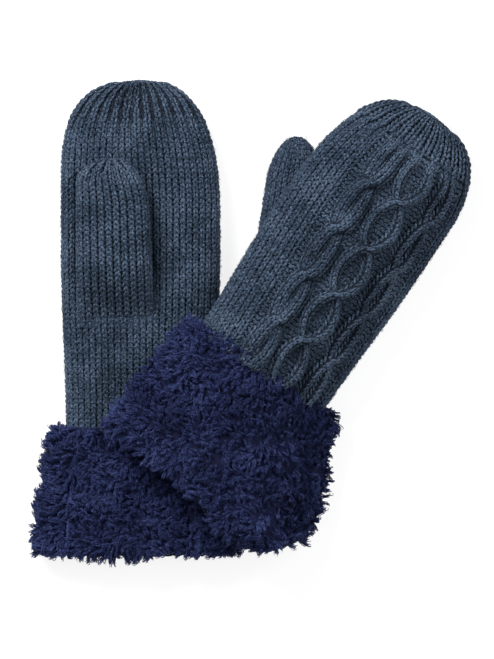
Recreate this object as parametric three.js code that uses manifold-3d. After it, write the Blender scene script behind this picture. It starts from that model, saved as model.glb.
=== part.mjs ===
// A pair of lined knit mittens with deep pile cuffs, lying as a pair: the left-hand mitten palm up
// on the surface, the right-hand mitten palm down, turned outwards, its cuff lying over the other.
// Millimetres, +Z up, +Y from the left mitten's cuff to its tip.
//
// Each mitten is built flat in its own frame: x across the hand with the thumb on the -x side,
// y from the wrist seam (0) to the tip, and f the distance from the middle of the cloth bag,
// positive on the palm side. The last step lays that flat bag down on whatever is under it.

import * as THREE from 'three';
import { mergeVertices } from 'three/addons/utils/BufferGeometryUtils.js';
import Module from 'manifold-3d';

const wasm = await Module();
wasm.setup();

// ---- driving sizes ----
const HAND_HALF_WIDTH = 47;
const WRIST_HALF_WIDTH = 44;
const THICKNESS = 27; // of the whole flattened bag, hand and cuff alike
const TIP_OUTLINE_POWER = 2.4;
const TIP_TAPER_LENGTH = 26; // the thickness rounds off over this length
const ROUND = 2;

const CUFF_LENGTH = 78;
const CUFF_FLARE_POWER = 0.75;
const BOW = { at: 42, over: 32 }; // where a cuff's mouth bows out, across the cuff
const CORNER = { from: 58, to: 84 }; // where it is drawn back at the outer corner

const KNIT = 3; // cloth thicknesses
const SHERPA = 6;
const LINING = 1.6;
const KNIT_GAP = 1.2; // between the lining and the knit
const SHERPA_GAP = 2.4; // between the lining and the cuff

const THUMB_TIP = 72; // from the middle of the thumb hole
const THUMB_HEEL = 26; // the thumb's flat heel reaches this far behind the middle of the hole
const HEEL_RAMP = 36; // the thumb rises to its full thickness over this length
const HEEL_SETBACK = 3.8; // an inner layer's heel is this many times its inset further up
const HEEL_ROUND = 10; // the heel's outline rounds off over this length
const THUMB_TIP_TAPER_LENGTH = 15;
const THUMB_THICKNESS = 20;
const THUMB_HOLE_RADIUS = 13;
const THUMB_CLEARANCE = 0.5; // between the thumb and the palm it lies on

const SEAM_HALF_GAP = 1.1; // half the slot between two panels
const SEAM_HALF_THREAD = 0.5;
const SEAM_INSET = 0.8; // from either face of the knit to the thread in a side seam
const CUFF_SEAM_INSET = 2; // the same, in the cuff
const RING_RADIUS = 0.7; // of the thread in a ring seam

const SECTION_POWER = 2.6; // how boxy the flattened bag is in section
const BULGE = 1.05; // the bag is this much thicker than it lies, so top and bottom press flat

const MITTENS = {
  left: {
    palmUp: true,
    handLength: 208,
    wristAt: [-64, -62],
    turn: 0,
    cuffTop: { west: 50, east: 50 },
    cuffMouth: { west: 65, east: 62 },
    cuffReach: { whole: 0.98, bow: 0, corner: 0 },
    tipOutline: { west: 56, east: 80 }, // each side of the outline rounds off over this length
    thumbRoot: [-15, 88],
    thumbTurn: 1.3,
    thumbHalfWidth: { root: 22, tip: 20.5 },
    thumbTipOutline: { west: 16, east: 32 },
  },
  right: {
    palmUp: false,
    handLength: 182,
    wristAt: [10, -26],
    turn: -33.7,
    cuffTop: { west: 51, east: 50 },
    cuffMouth: { west: 60, east: 80 },
    cuffReach: { whole: 1.05, bow: 0.17, corner: 0.2 },
    tipOutline: { west: 80, east: 42 },
    thumbRoot: [-26.5, 62],
    thumbTurn: 27,
    thumbHalfWidth: { root: 17, tip: 14 },
    thumbTipOutline: { west: 28, east: 26 },
  },
};

// What the right mitten lies on, in its own frame: the other mitten under its cuff, and its own
// thumb folded under the palm.
const OTHER_MITTEN_TOP = THICKNESS + 2;
const OTHER_MITTEN_EDGE = 2; // world x where the other mitten's top starts to fall away
const OTHER_MITTEN_FALL = 44;
const OTHER_MITTEN_NEAR = -10; // world y below which the right mitten lies on the other one
const OTHER_MITTEN_CLIMB = 50;
const THUMB_BED = THUMB_THICKNESS + THUMB_CLEARANCE;
const THUMB_BED_EDGE = 10; // x where the palm starts to come down beside the thumb
const THUMB_BED_FALL = 36;
const THUMB_BED_TOP = 138; // y where the hand starts to come down past the thumb
const THUMB_BED_END = 44;
const BED_SOFTNESS = 0.1;

// ---- colours ----
const KNIT_LOOK = { color: 0x313d4e, roughness: 0.9, metalness: 0 };
const CABLE_LOOK = { color: 0x344050, roughness: 0.9, metalness: 0 };
const SHERPA_LOOK = { color: 0x1e2441, roughness: 1, metalness: 0 };
const LINING_LOOK = { color: 0x1b2038, roughness: 1, metalness: 0 };
const THREAD_LOOK = { color: 0x222b3a, roughness: 0.8, metalness: 0 };

// ---- small helpers ----
const degrees = THREE.MathUtils.degToRad;
const { lerp, smoothstep, clamp } = THREE.MathUtils;

// 0 at the end of a rounded shape, rising like a superellipse to 1 at the given distance from it.
function rounding(distance, length, power) {
  const rest = 1 - clamp(distance / length, 0, 1);
  return Math.pow(1 - Math.pow(rest, power), 1 / power);
}

function signedPower(value, power) {
  return Math.sign(value) * Math.pow(Math.abs(value), power);
}

// The larger of two heights, rounded where they are alike, and exact where one is 0.
function softMax(a, b) {
  return (a + b + Math.sqrt((a - b) ** 2 + BED_SOFTNESS * a * b)) / 2;
}

// A closed solid from a bent geometry: shared vertices, no collapsed faces, faces pointing out.
function toSolid(geometry) {
  geometry.deleteAttribute('normal');
  geometry.deleteAttribute('uv');
  const merged = mergeVertices(geometry, 1e-3);
  const corners = merged.attributes.position.array;
  const index = merged.index.array;
  const faces = [];
  for (let i = 0; i < index.length; i += 3) {
    const [a, b, c] = [index[i], index[i + 1], index[i + 2]];
    if (a !== b && b !== c && c !== a) faces.push(a, b, c);
  }
  if (signedVolume(corners, faces) < 0) faces.reverse();
  return makeManifold(corners, faces);
}

function makeManifold(corners, faces) {
  const mesh = new wasm.Mesh({
    numProp: 3,
    vertProperties: new Float32Array(corners),
    triVerts: new Uint32Array(faces),
  });
  return new wasm.Manifold(mesh);
}

function signedVolume(corners, faces) {
  const [a, b, c] = [new THREE.Vector3(), new THREE.Vector3(), new THREE.Vector3()];
  let six = 0;
  for (let i = 0; i < faces.length; i += 3) {
    a.fromArray(corners, 3 * faces[i]);
    b.fromArray(corners, 3 * faces[i + 1]);
    c.fromArray(corners, 3 * faces[i + 2]);
    six += a.dot(b.cross(c));
  }
  return six;
}

// A patch of cloth: u across, v along and w from the outer face (0) to the inner face (1).
function cloth(across, along, place) {
  const geometry = new THREE.BoxGeometry(1, 1, 1, across, along, 1);
  const at = geometry.attributes.position;
  for (let i = 0; i < at.count; i += 1) {
    const point = place(at.getX(i) + 0.5, at.getY(i) + 0.5, at.getZ(i) + 0.5);
    at.setXYZ(i, ...point);
  }
  return toSolid(geometry);
}

// A ring: u round the ring and v round its section.
function ring(around, sides, place) {
  const geometry = new THREE.TorusGeometry(2, 1, sides, around);
  return bendByUv(geometry, place);
}

// A closed bag: u round it and v from one end to the other.
function bag(around, along, place) {
  const geometry = new THREE.SphereGeometry(1, around, along);
  return bendByUv(geometry, place);
}

function bendByUv(geometry, place) {
  const uv = geometry.attributes.uv;
  const at = geometry.attributes.position;
  for (let i = 0; i < at.count; i += 1) {
    at.setXYZ(i, ...place(uv.getX(i), uv.getY(i)));
  }
  return toSolid(geometry);
}

function drill([x, y], radius, fromZ, toZ) {
  const geometry = new THREE.CylinderGeometry(radius, radius, toZ - fromZ, 20);
  geometry.rotateX(Math.PI / 2);
  geometry.translate(x, y, (fromZ + toZ) / 2);
  return toSolid(geometry);
}

// ---- the flat bag: its outline and section ----
function handSection(mitten, y, inset) {
  const toTip = mitten.handLength - inset - y;
  const wide = lerp(WRIST_HALF_WIDTH, HAND_HALF_WIDTH, smoothstep(y, 0, mitten.handLength / 2));
  const halfHeight = (THICKNESS / 2) * BULGE - inset;
  const { west, east } = mitten.tipOutline;
  return {
    west: (wide - inset) * rounding(toTip, west, TIP_OUTLINE_POWER),
    east: (wide - inset) * rounding(toTip, east, TIP_OUTLINE_POWER),
    halfHeight: halfHeight * rounding(toTip, TIP_TAPER_LENGTH, ROUND),
  };
}

function cuffSection(mitten, y, inset) {
  const down = clamp(-y / CUFF_LENGTH, 0, 1);
  const flare = Math.pow(Math.sin((down * Math.PI) / 2), CUFF_FLARE_POWER);
  return {
    west: lerp(mitten.cuffTop.west, mitten.cuffMouth.west, flare) - inset,
    east: lerp(mitten.cuffTop.east, mitten.cuffMouth.east, flare) - inset,
    halfHeight: (THICKNESS / 2) * BULGE - inset,
  };
}

// The lining fits inside the knit above the wrist and inside the cuff below it.
const LINING_WIDENS = { from: 3, to: 16 }; // below the wrist
const LINING_THINS = { from: 2, to: 16 }; // above it

function liningSection(mitten, y, inset) {
  const hand = handSection(mitten, Math.max(y, 0), KNIT + KNIT_GAP + inset);
  const cuff = cuffSection(mitten, Math.min(y, 0), SHERPA + SHERPA_GAP + inset);
  const intoCuff = smoothstep(-y, LINING_WIDENS.from, LINING_WIDENS.to);
  const intoWrist = smoothstep(y, LINING_THINS.from, LINING_THINS.to);
  return {
    west: lerp(hand.west, cuff.west, intoCuff),
    east: lerp(hand.east, cuff.east, intoCuff),
    halfHeight: lerp(cuff.halfHeight, hand.halfHeight, intoWrist),
  };
}

// The point of a section at an angle from the +x side, turning towards the palm side.
function onSection({ west, east, halfHeight }, angle) {
  const reach = signedPower(Math.cos(angle), 2 / SECTION_POWER);
  const rise = signedPower(Math.sin(angle), 2 / SECTION_POWER);
  return [(east - west) / 2 + ((east + west) / 2) * reach, halfHeight * rise];
}

// ---- the pieces of one mitten, still flat ----
const PANEL_BOTTOM = 0.4; // the knit's lower edge, just above the wrist seam
const PANEL_TOP_CUT = 1.2; // the knit stops this far short of the tip, round the gather
const AROUND = 20; // columns of the mesh round the whole bag
const PANEL_ROWS = 12;
const ROW_CROWDING = 1.7; // rows of the mesh crowd together towards the tip

function panelHeight(mitten, v, inset) {
  const top = mitten.handLength - PANEL_TOP_CUT - inset;
  return lerp(PANEL_BOTTOM, top, 1 - Math.pow(1 - v, ROW_CROWDING));
}

function handPanel(mitten, side) {
  return cloth(AROUND / 2, PANEL_ROWS, (u, v, w) => {
    const inset = w * KNIT;
    const y = panelHeight(mitten, v, inset);
    const [x, rise] = onSection(handSection(mitten, y, inset), Math.PI * u);
    return [x, y, side * Math.max(rise, SEAM_HALF_GAP)];
  });
}

function palmPanel(mitten) {
  const hole = drill(mitten.thumbRoot, THUMB_HOLE_RADIUS, 0, THICKNESS);
  return handPanel(mitten, 1).subtract(hole);
}

// The seam stops two rows of the mesh short of the tip.
function sideSeam(mitten, side) {
  const rows = PANEL_ROWS - 2;
  return cloth(1, rows, (u, v, w) => {
    const inset = lerp(SEAM_INSET, KNIT - SEAM_INSET, w);
    const y = panelHeight(mitten, (v * rows) / PANEL_ROWS, inset);
    const { west, east } = handSection(mitten, y, inset);
    return [side > 0 ? east : -west, y, lerp(-SEAM_HALF_THREAD, SEAM_HALF_THREAD, u)];
  });
}

const TIP_GATHER = { halfX: 9, halfY: 1.5, halfF: 1.8 };

function tipGather(mitten) {
  const { halfX, halfY, halfF } = TIP_GATHER;
  const geometry = new THREE.SphereGeometry(1, 10, 6);
  geometry.scale(halfX, halfY, halfF);
  geometry.translate(0, mitten.handLength - halfY, 0);
  return toSolid(geometry);
}

// The lining shares its rows with the cuff and the panels, so the layers bend alike.
const CUFF_ROWS = 8;
const LINING_ROWS = CUFF_ROWS + PANEL_ROWS + 2;

function liningHeight(mitten, row, inset, mouth) {
  if (row === 0) return mouth;
  if (row <= CUFF_ROWS) return cuffHeight(row / CUFF_ROWS);
  const v = (row - 1 - CUFF_ROWS) / PANEL_ROWS;
  return panelHeight(mitten, Math.min(v, 1), KNIT + KNIT_GAP + inset);
}

function liningBag(mitten, inset, mouth) {
  return bag(AROUND, LINING_ROWS, (u, v) => {
    const row = Math.round(v * LINING_ROWS) - 1;
    if (row < 0) return [0, mouth, 0];
    const y = liningHeight(mitten, row, inset, mouth);
    if (row === LINING_ROWS - 1) return [0, y, 0];
    const [x, f] = onSection(liningSection(mitten, y, inset), 2 * Math.PI * u);
    return [x, y, f];
  });
}

function lining(mitten) {
  const outside = liningBag(mitten, 0, -CUFF_LENGTH);
  const hollow = liningBag(mitten, LINING, -CUFF_LENGTH - LINING);
  const hole = drill(mitten.thumbRoot, THUMB_HOLE_RADIUS, 0, THICKNESS);
  return outside.subtract(hollow).subtract(hole);
}

function cuffHeight(v) {
  return lerp(-CUFF_LENGTH, CUFF_TOP, v);
}

const CUFF_SEAM_ANGLE = degrees(126); // on the palm side, near the thumb's edge
const CUFF_SLOT = 0.07; // radians left open for the seam
const CUFF_TOP = -2.4; // the cuff's upper edge, just below the wrist seam

function cuffCloth(mitten, from, to, across, outer, inner) {
  return cloth(across, CUFF_ROWS, (u, v, w) => {
    const y = cuffHeight(v);
    const section = cuffSection(mitten, y, lerp(outer, inner, w));
    const angle = CUFF_SEAM_ANGLE + Math.max(from, to * u);
    const [x, f] = onSection(section, angle);
    return [x, y, f];
  });
}

function sherpaCuff(mitten) {
  return cuffCloth(mitten, CUFF_SLOT, 2 * Math.PI, AROUND, 0, SHERPA);
}

function cuffSideSeam(mitten) {
  const [from, to] = [0.25 * CUFF_SLOT, 0.75 * CUFF_SLOT];
  return cuffCloth(mitten, from, to, 1, CUFF_SEAM_INSET, SHERPA - CUFF_SEAM_INSET);
}

function ringSeam(section, y) {
  return ring(AROUND, 4, (u, v) => {
    const turn = 2 * Math.PI * v;
    const { west, east, halfHeight } = section;
    const out = RING_RADIUS * Math.cos(turn);
    const grown = { west: west + out, east: east + out, halfHeight: halfHeight + out };
    const [x, f] = onSection(grown, 2 * Math.PI * u);
    return [x, y + RING_RADIUS * Math.sin(turn), f];
  });
}

function wristSeam(mitten) {
  return ringSeam(handSection(mitten, 0, KNIT / 2), -1);
}

function cuffHemSeam(mitten) {
  return ringSeam(cuffSection(mitten, -CUFF_LENGTH, SHERPA), -CUFF_LENGTH - 1);
}

// ---- the thumb, lying on its palm side at z = 0, its hole over the origin ----
// The bag is a wedge from its heel to the knee, and a rounded tube from there to the tip.
const HEEL_SHARE = 0.4; // of the rows of the mesh
const KNEE = HEEL_RAMP - THUMB_HEEL;

function thumbHeight(v, heel, tip) {
  if (v < HEEL_SHARE) return lerp(heel, KNEE, v / HEEL_SHARE);
  return lerp(KNEE, tip, Math.sin(((v - HEEL_SHARE) / (1 - HEEL_SHARE)) * (Math.PI / 2)));
}

function thumbBag({ thumbHalfWidth, thumbTipOutline }, inset) {
  const tip = THUMB_TIP - inset;
  const heel = HEEL_SETBACK * inset - THUMB_HEEL;
  return bag(14, 10, (u, v) => {
    const y = thumbHeight(v, heel, tip);
    const wide = lerp(thumbHalfWidth.root, thumbHalfWidth.tip, clamp(y / THUMB_TIP, 0, 1));
    const halfWidth = (wide - inset) * rounding(y - heel, HEEL_ROUND, ROUND);
    const halfHeight =
      (THUMB_THICKNESS / 2 - inset) *
      rounding(tip - y, THUMB_TIP_TAPER_LENGTH, ROUND) *
      clamp((y - heel) / (KNEE - heel), 0, 1);
    const section = {
      west: halfWidth * rounding(tip - y, thumbTipOutline.west, ROUND),
      east: halfWidth * rounding(tip - y, thumbTipOutline.east, ROUND),
      halfHeight,
    };
    const [x, f] = onSection(section, 2 * Math.PI * u);
    return [x, y, inset + halfHeight + f];
  });
}

// The thumb hole, cut through a layer of the thumb whose underside is that much inset.
function thumbHole(inset) {
  return drill([0, 0], THUMB_HOLE_RADIUS, -2, inset + 0.5);
}

// The knit is drawn together round this spot near the thumb's tip.
const THUMB_GATHER_AT = [0, THUMB_TIP - 1.8, THUMB_THICKNESS / 2 - 4];
const THUMB_GATHER = { halfX: 2.4, halfY: 1.4, halfZ: 2.4, gap: 0.8 };

function thumbTube(mitten) {
  const radius = THUMB_GATHER.halfX + THUMB_GATHER.gap;
  const tipHole = new THREE.CylinderGeometry(radius, radius, 16, 10);
  tipHole.translate(...THUMB_GATHER_AT);
  return thumbBag(mitten, 0)
    .subtract(thumbBag(mitten, KNIT))
    .subtract(thumbHole(KNIT))
    .subtract(toSolid(tipHole));
}

function thumbTipGather() {
  const { halfX, halfY, halfZ } = THUMB_GATHER;
  const geometry = new THREE.SphereGeometry(1, 8, 6);
  geometry.scale(halfX, halfY, halfZ);
  geometry.translate(...THUMB_GATHER_AT);
  return toSolid(geometry);
}

function thumbLining(mitten) {
  const outer = KNIT + KNIT_GAP;
  const inner = outer + LINING;
  return thumbBag(mitten, outer).subtract(thumbBag(mitten, inner)).subtract(thumbHole(inner));
}

function thumbRootSeam() {
  const middle = THUMB_HOLE_RADIUS - THUMB_CLEARANCE - RING_RADIUS;
  const geometry = new THREE.TorusGeometry(middle, RING_RADIUS, 4, AROUND);
  return toSolid(geometry);
}

// ---- laying the flat pieces down ----

// The height of what is under the right mitten at a point of its own frame.
function bedUnderRight(x, y) {
  const { wristAt, turn } = MITTENS.right;
  const [worldX, worldY] = new THREE.Vector2(x, y)
    .rotateAround(new THREE.Vector2(), degrees(turn))
    .add(new THREE.Vector2(...wristAt));
  const beside = 1 - smoothstep(worldX, OTHER_MITTEN_EDGE, OTHER_MITTEN_EDGE + OTHER_MITTEN_FALL);
  const below = 1 - smoothstep(worldY, OTHER_MITTEN_NEAR, OTHER_MITTEN_NEAR + OTHER_MITTEN_CLIMB);
  const onThumb =
    (1 - smoothstep(x, THUMB_BED_EDGE, THUMB_BED_EDGE + THUMB_BED_FALL)) *
    (1 - smoothstep(y, THUMB_BED_TOP, THUMB_BED_TOP + THUMB_BED_END));
  return softMax(OTHER_MITTEN_TOP * beside * below, THUMB_BED * onThumb);
}

// A cuff's mouth need not be straight: how far out it reaches, as a share of its plain length.
function reachOfCuff({ whole, bow, corner }, x) {
  const bowed = bow * Math.exp(-(((x - BOW.at) / BOW.over) ** 2));
  return whole + bowed - corner * smoothstep(x, CORNER.from, CORNER.to);
}

function layDown(mitten, x, flatY, f) {
  const y = flatY < 0 ? flatY * reachOfCuff(mitten.cuffReach, x) : flatY;
  const z = clamp(THICKNESS / 2 + (mitten.palmUp ? f : -f), 0, THICKNESS);
  return [x, y, z + (mitten.palmUp ? 0 : bedUnderRight(x, y))];
}

// A node's geometry from its solid, with every corner moved by place.
function toGeometry(solid, place, mirrored) {
  const { vertProperties, triVerts, numProp } = solid.getMesh();
  const positions = [];
  for (let i = 0; i < vertProperties.length; i += numProp) {
    const [x, y, z] = vertProperties.slice(i, i + 3);
    positions.push(...place(x, y, z));
  }
  const faces = Array.from(triVerts);
  if (mirrored) faces.reverse();
  const geometry = new THREE.BufferGeometry();
  geometry.setAttribute('position', new THREE.Float32BufferAttribute(positions, 3));
  geometry.setIndex(faces);
  geometry.computeVertexNormals();
  return geometry;
}

function node(name, geometry, look) {
  const mesh = new THREE.Mesh(geometry, new THREE.MeshStandardMaterial(look));
  mesh.name = name;
  return mesh;
}

function makeMitten(side) {
  const mitten = MITTENS[side];
  const flatPieces = {
    palm_panel: [palmPanel(mitten), KNIT_LOOK],
    back_panel: [handPanel(mitten, -1), CABLE_LOOK],
    thumb_side_seam: [sideSeam(mitten, -1), THREAD_LOOK],
    outer_side_seam: [sideSeam(mitten, 1), THREAD_LOOK],
    tip_gather: [tipGather(mitten), THREAD_LOOK],
    lining: [lining(mitten), LINING_LOOK],
    sherpa_cuff: [sherpaCuff(mitten), SHERPA_LOOK],
    cuff_side_seam: [cuffSideSeam(mitten), THREAD_LOOK],
    wrist_seam: [wristSeam(mitten), THREAD_LOOK],
    cuff_hem_seam: [cuffHemSeam(mitten), THREAD_LOOK],
  };
  const thumbPieces = {
    thumb_tube: [thumbTube(mitten), KNIT_LOOK],
    thumb_tip_gather: [thumbTipGather(), THREAD_LOOK],
    thumb_root_seam: [thumbRootSeam(), THREAD_LOOK],
    thumb_lining: [thumbLining(mitten), LINING_LOOK],
  };

  const hand = new THREE.Group();
  for (const [name, [solid, look]] of Object.entries(flatPieces)) {
    const place = (x, y, f) => layDown(mitten, x, y, f);
    hand.add(node(`${side}_${name}`, toGeometry(solid, place, !mitten.palmUp), look));
  }

  // The thumb lies on the palm of the left mitten, and under the palm of the right one.
  const thumb = new THREE.Group();
  for (const [name, [solid, look]] of Object.entries(thumbPieces)) {
    const place = (x, y, z) => [x, y, mitten.palmUp ? z : THUMB_THICKNESS - z];
    thumb.add(node(`${side}_${name}`, toGeometry(solid, place, !mitten.palmUp), look));
  }
  const thumbBase = mitten.palmUp ? THICKNESS + THUMB_CLEARANCE : 0;
  thumb.position.set(...mitten.thumbRoot, thumbBase);
  thumb.rotation.z = degrees(mitten.thumbTurn);
  hand.add(thumb);

  hand.position.set(...mitten.wristAt, 0);
  hand.rotation.z = degrees(mitten.turn);
  return hand;
}

const group = new THREE.Group();
group.add(makeMitten('left'), makeMitten('right'));

// The origin is under the middle of the pair.
group.updateMatrixWorld(true);
const middle = new THREE.Box3().setFromObject(group, true).getCenter(new THREE.Vector3());
group.position.set(-middle.x, -middle.y, 0);

export default group;
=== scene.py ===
"""A pair of knitted mittens with sherpa cuffs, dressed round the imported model."""
import math
from functools import partial

import bpy
import numpy as np
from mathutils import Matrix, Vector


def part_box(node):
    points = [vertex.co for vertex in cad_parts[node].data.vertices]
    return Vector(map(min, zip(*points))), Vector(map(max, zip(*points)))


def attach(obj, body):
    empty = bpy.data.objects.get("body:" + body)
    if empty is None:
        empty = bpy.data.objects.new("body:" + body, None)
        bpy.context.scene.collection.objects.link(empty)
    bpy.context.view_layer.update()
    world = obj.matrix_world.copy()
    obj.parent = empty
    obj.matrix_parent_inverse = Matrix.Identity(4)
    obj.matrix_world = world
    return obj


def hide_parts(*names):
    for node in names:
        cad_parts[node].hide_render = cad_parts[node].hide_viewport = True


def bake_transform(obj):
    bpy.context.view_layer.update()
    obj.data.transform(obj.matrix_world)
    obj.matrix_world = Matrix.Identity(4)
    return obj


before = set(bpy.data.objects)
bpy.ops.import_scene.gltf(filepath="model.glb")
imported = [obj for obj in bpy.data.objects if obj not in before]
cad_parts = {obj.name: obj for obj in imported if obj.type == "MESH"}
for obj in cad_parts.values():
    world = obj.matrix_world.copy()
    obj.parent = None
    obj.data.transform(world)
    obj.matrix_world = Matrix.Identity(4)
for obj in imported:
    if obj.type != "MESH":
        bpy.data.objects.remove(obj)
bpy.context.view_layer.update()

RANDOM = np.random.default_rng(7)

# ---------------------------------------------------------------- sizes, in millimetres
MM = 0.001
THICKNESS = 27.0
HAND_HALF_WIDTH = 47.0
WRIST_HALF_WIDTH = 44.0
TIP_OUTLINE_POWER = 2.4
TIP_TAPER_LENGTH = 26.0
SECTION_POWER = 2.6
BULGE = 1.05
CUFF_LENGTH = 78.0
CUFF_FLARE_POWER = 0.75
BOW_AT, BOW_OVER = 42.0, 32.0
CORNER_FROM, CORNER_TO = 58.0, 84.0
KNIT = 3.0
SHERPA = 6.0
LINING = 1.6
THUMB_TIP = 72.0
THUMB_HEEL = 26.0
THUMB_KNEE = 10.0  # the thumb has its full thickness from here on
THUMB_THICKNESS = 20.0
THUMB_CLEARANCE = 0.5
THUMB_TIP_TAPER = 15.0
THUMB_HEEL_SHARE = 0.06  # the heel's thickness as a share of the whole
THUMB_HEEL_SINK = 2.6  # how far the left thumb's heel sinks into the palm

COURSE = 3.0  # height of one row of stitches
WALE = 3.95  # width of one column of stitches
CABLE_WALE = 3.2
RIB_WALE = 5.6  # the ribs at the tip of the cabled side
RIB_STEP = 7.6  # from one rib to the next

LEG_POINTS = 7  # points along one leg of a stitch
LEG_RADIUS = 0.98
LEG_SINK = 0.55  # how far a stitch's ends lie below the surface
ROWS_PER_LEG = 1.45
CABLE_RADIUS, RIB_RADIUS, PURL_RADIUS = 0.9, 1.15, 0.85
HAND_DEPTH = 12.0  # an inset that is surely inside a hand or a cuff
THUMB_DEPTH = 9.0
ACROSS_STEP = 0.002  # small steps for finding the directions out of the cloth
ANGLE_STEP = 0.01
ALONG_STEP = 0.05

# The middle of a yarn, the strands of the pile, and loose fibres or the cuff's cloth stay at least
# this high above the table.
STITCH_ABOVE_TABLE = 0.9
PILE_ABOVE_TABLE = 0.6
CLOTH_ABOVE_TABLE = 0.3

# The left mitten's wrist is at the lower edge of its palm panel, and the right one's is a fixed
# step from it.
PANEL_BOTTOM = 0.4
PANEL_LOW, PANEL_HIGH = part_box("left_palm_panel")
LEFT_WRIST = ((PANEL_LOW[0] + PANEL_HIGH[0]) / 2 / MM, PANEL_LOW[1] / MM - PANEL_BOTTOM)
LEFT_TO_RIGHT = (74.0, 36.0)

# Pairs are for the west and the east side of a mitten whose tip points north, but a thumb's half
# widths are at its root and, before it is rounded, at its tip. cuff_reach is used in
# reach_of_cuff.
MITTENS = {
    "left": {
        "palm_up": True,
        "length": 208.0,
        "wrist": LEFT_WRIST,
        "turn": 0.0,
        "cuff_top": (50.0, 50.0),
        "cuff_mouth": (65.0, 62.0),
        "cuff_reach": (0.98, 0.0, 0.0),
        "tip_outline": (56.0, 80.0),
        "thumb_root": (-15.0, 88.0),
        "thumb_turn": 1.3,
        "thumb_half_width": (22.0, 20.5),
        "thumb_pleats": 1.0,
        "thumb_tip_outline": (16.0, 32.0),
    },
    "right": {
        "palm_up": False,
        "length": 182.0,
        "wrist": (LEFT_WRIST[0] + LEFT_TO_RIGHT[0], LEFT_WRIST[1] + LEFT_TO_RIGHT[1]),
        "turn": -33.7,
        "cuff_top": (51.0, 50.0),
        "cuff_mouth": (60.0, 80.0),
        "cuff_reach": (1.05, 0.17, 0.2),
        "tip_outline": (84.0, 54.0),
        "thumb_root": (-26.5, 62.0),
        "thumb_turn": 27.0,
        "thumb_half_width": (17.0, 14.0),
        "thumb_pleats": 0.3,
        "thumb_tip_outline": (28.0, 26.0),
    },
}

# What the right mitten lies on: the other mitten, and its own thumb folded under the palm.
# OTHER_EDGE and OTHER_NEAR are measured from the left wrist, and the thumb's from the right one.
OTHER_TOP = THICKNESS + 2
OTHER_EDGE = 66.0
OTHER_FALL = 44.0
OTHER_NEAR = 52.0
OTHER_CLIMB = 50.0
THUMB_BED = THUMB_THICKNESS + THUMB_CLEARANCE
THUMB_BED_EDGE = 10.0
THUMB_BED_FALL = 36.0
THUMB_BED_TOP = 138.0
THUMB_BED_END = 44.0
BED_SOFTNESS = 0.1


# ---------------------------------------------------------------- the laid-down bag
def lerp(a, b, t):
    return a + (b - a) * t


def smooth(x, low, high):
    t = np.clip((x - low) / (high - low), 0, 1)
    return t * t * (3 - 2 * t)


def rounding(distance, length, power):
    """0 at the end of a rounded shape, rising to 1 at the given distance from it."""
    rest = 1 - np.clip(distance / length, 0, 1)
    return (1 - rest**power) ** (1 / power)


def length_run(x, y):
    """The length of a path so far, at each of its points."""
    return np.concatenate([[0], np.cumsum(np.hypot(np.diff(x), np.diff(y)))])


def hand_section(m, y, inset):
    to_tip = m["length"] - inset - y
    wide = lerp(WRIST_HALF_WIDTH, HAND_HALF_WIDTH, smooth(y, 0, m["length"] / 2))
    west = (wide - inset) * rounding(to_tip, m["tip_outline"][0], TIP_OUTLINE_POWER)
    east = (wide - inset) * rounding(to_tip, m["tip_outline"][1], TIP_OUTLINE_POWER)
    height = (THICKNESS / 2 * BULGE - inset) * rounding(to_tip, TIP_TAPER_LENGTH, 2)
    return west, east, height


def narrowing(m, y):
    """How wide the hand is at y, as a share of its full width."""
    west, east, _ = hand_section(m, y, 0)
    return (west + east) / 2 / HAND_HALF_WIDTH


def cuff_section(m, y, inset):
    down = np.clip(-y / CUFF_LENGTH, 0, 1)
    flare = np.sin(down * math.pi / 2) ** CUFF_FLARE_POWER
    west = lerp(m["cuff_top"][0], m["cuff_mouth"][0], flare) - inset
    east = lerp(m["cuff_top"][1], m["cuff_mouth"][1], flare) - inset
    return west, east, THICKNESS / 2 * BULGE - inset + 0 * y


def signed_power(value, power):
    return np.sign(value) * np.abs(value) ** power


def on_section(section, angle):
    west, east, height = section
    x = (east - west) / 2 + (east + west) / 2 * signed_power(np.cos(angle), 2 / SECTION_POWER)
    return x, height * signed_power(np.sin(angle), 2 / SECTION_POWER)


def turned(x, y, degrees):
    c, s = math.cos(math.radians(degrees)), math.sin(math.radians(degrees))
    return x * c - y * s, x * s + y * c


def bed_height(m, x, y):
    """Height of what lies under the right mitten at a point of its own frame."""
    if m["palm_up"]:
        return 0 * x
    across, up = turned(x, y, m["turn"])
    across = across + LEFT_TO_RIGHT[0]
    up = up + LEFT_TO_RIGHT[1]
    beside = 1 - smooth(across, OTHER_EDGE, OTHER_EDGE + OTHER_FALL)
    below = 1 - smooth(up, OTHER_NEAR, OTHER_NEAR + OTHER_CLIMB)
    on_thumb = 1 - smooth(x, THUMB_BED_EDGE, THUMB_BED_EDGE + THUMB_BED_FALL)
    on_thumb = on_thumb * (1 - smooth(y, THUMB_BED_TOP, THUMB_BED_TOP + THUMB_BED_END))
    a, b = OTHER_TOP * beside * below, THUMB_BED * on_thumb
    return (a + b + np.sqrt((a - b) ** 2 + BED_SOFTNESS * a * b)) / 2


def reach_of_cuff(m, x):
    """How far out a cuff's mouth reaches, as a share of its plain length."""
    whole, bow, corner = m["cuff_reach"]
    bowed = bow * np.exp(-(((x - BOW_AT) / BOW_OVER) ** 2))
    return whole + bowed - corner * smooth(x, CORNER_FROM, CORNER_TO)


def lay_down(m, x, y, f):
    """World points, in millimetres, of flat-bag points: f is positive on the palm side."""
    y = np.where(y < 0, y * reach_of_cuff(m, x), y)
    z = np.clip(THICKNESS / 2 + (f if m["palm_up"] else -f), 0, THICKNESS)
    z = z + bed_height(m, x, y)
    wx, wy = turned(x, y, m["turn"])
    return np.stack([wx + m["wrist"][0], wy + m["wrist"][1], z], axis=-1)


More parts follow.
